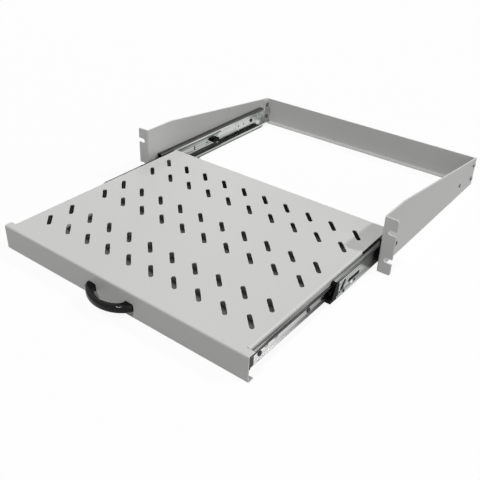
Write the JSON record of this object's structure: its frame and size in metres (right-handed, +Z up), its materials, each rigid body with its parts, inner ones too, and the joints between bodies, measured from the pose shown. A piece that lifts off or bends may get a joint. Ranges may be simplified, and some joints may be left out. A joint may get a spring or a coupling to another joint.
{
  "type": "sliding rack shelf",
  "caption": "Sliding vented rack shelf: a slotted tray on ball-bearing slides between eared side brackets, with a rear cross panel and a bow pull handle",
  "frame": {"origin": "midway between the ears, on their rear mounting face, at the ears' lower edge", "axes": "+X to the right as seen from the front, +Y to the back of the rack, the way the tray pushes in, +Z up"},
  "size_m": [0.4826, 0.6711, 0.0881],
  "materials": {
    "shelf_paint": "satin powder coat",
    "slide_zinc": "bright zinc plate",
    "cage_steel": "bright zinc plate",
    "ball_steel": "polished",
    "fastener_steel": "zinc plate",
    "handle_plastic": "glossy black",
    "slide_plastic": "matt black"
  },
  "bodies": {
    "frame": {"left_bracket": "shelf_paint", "right_bracket": "shelf_paint", "rear_panel": "shelf_paint", "rear_screws": "fastener_steel", "rear_nuts": "fastener_steel", "left_outer_slide": "slide_zinc", "right_outer_slide": "slide_zinc", "slide_screws": "fastener_steel"},
    "tray": {"tray": "shelf_paint", "handle": "handle_plastic", "handle_screws": "fastener_steel", "tray_screws": "fastener_steel", "left_inner_slide": "slide_zinc", "left_slide_cap": "slide_plastic", "left_lever_rivet": "fastener_steel", "right_inner_slide": "slide_zinc", "right_slide_cap": "slide_plastic", "right_lever_rivet": "fastener_steel"},
    "left_middle": {"left_middle_slide": "slide_zinc", "left_front_stop": "slide_plastic", "left_rear_bumper": "slide_plastic"},
    "left_outer_cage": {"left_outer_cage": "cage_steel", "left_outer_balls": "ball_steel"},
    "left_inner_cage": {"left_inner_cage": "cage_steel", "left_inner_balls": "ball_steel"},
    "left_lever": {"left_release_lever": "slide_plastic"},
    "right_middle": {"right_middle_slide": "slide_zinc", "right_front_stop": "slide_plastic", "right_rear_bumper": "slide_plastic"},
    "right_outer_cage": {"right_outer_cage": "cage_steel", "right_outer_balls": "ball_steel"},
    "right_inner_cage": {"right_inner_cage": "cage_steel", "right_inner_balls": "ball_steel"},
    "right_lever": {"right_release_lever": "slide_plastic"}
  },
  "joints": [
    {"name": "tray_slide", "type": "slide", "parent": "frame", "child": "tray", "axis": [0, 1, 0], "range_m": [0, 0.2936]},
    {"name": "left_middle_slide", "type": "slide", "parent": "frame", "child": "left_middle", "axis": [0, 1, 0], "range_m": [0, 0.1374]},
    {"name": "left_outer_cage_slide", "type": "slide", "parent": "frame", "child": "left_outer_cage", "axis": [0, 1, 0], "range_m": [0, 0.06875]},
    {"name": "left_inner_cage_slide", "type": "slide", "parent": "frame", "child": "left_inner_cage", "axis": [0, 1, 0], "range_m": [0, 0.21555]},
    {"name": "left_lever_hinge", "type": "hinge", "parent": "tray", "child": "left_lever", "pos_m": [-0.211, -0.103, 0.0207], "axis": [1, 0, 0], "range_deg": [-8, 8], "stiffness_Nm_per_rad": 0.02},
    {"name": "right_middle_slide", "type": "slide", "parent": "frame", "child": "right_middle", "axis": [0, 1, 0], "range_m": [0, 0.1374]},
    {"name": "right_outer_cage_slide", "type": "slide", "parent": "frame", "child": "right_outer_cage", "axis": [0, 1, 0], "range_m": [0, 0.06875]},
    {"name": "right_inner_cage_slide", "type": "slide", "parent": "frame", "child": "right_inner_cage", "axis": [0, 1, 0], "range_m": [0, 0.21555]},
    {"name": "right_lever_hinge", "type": "hinge", "parent": "tray", "child": "right_lever", "pos_m": [0.211, -0.103, 0.0207], "axis": [1, 0, 0], "range_deg": [-8, 8], "stiffness_Nm_per_rad": 0.02}
  ],
  "couplings": [
    {"joint": "left_middle_slide", "follows": "tray_slide", "ratio": 0.46764},
    {"joint": "left_outer_cage_slide", "follows": "tray_slide", "ratio": 0.23382},
    {"joint": "left_inner_cage_slide", "follows": "tray_slide", "ratio": 0.73382},
    {"joint": "right_middle_slide", "follows": "tray_slide", "ratio": 0.46764},
    {"joint": "right_outer_cage_slide", "follows": "tray_slide", "ratio": 0.23382},
    {"joint": "right_inner_cage_slide", "follows": "tray_slide", "ratio": 0.73382}
  ]
}
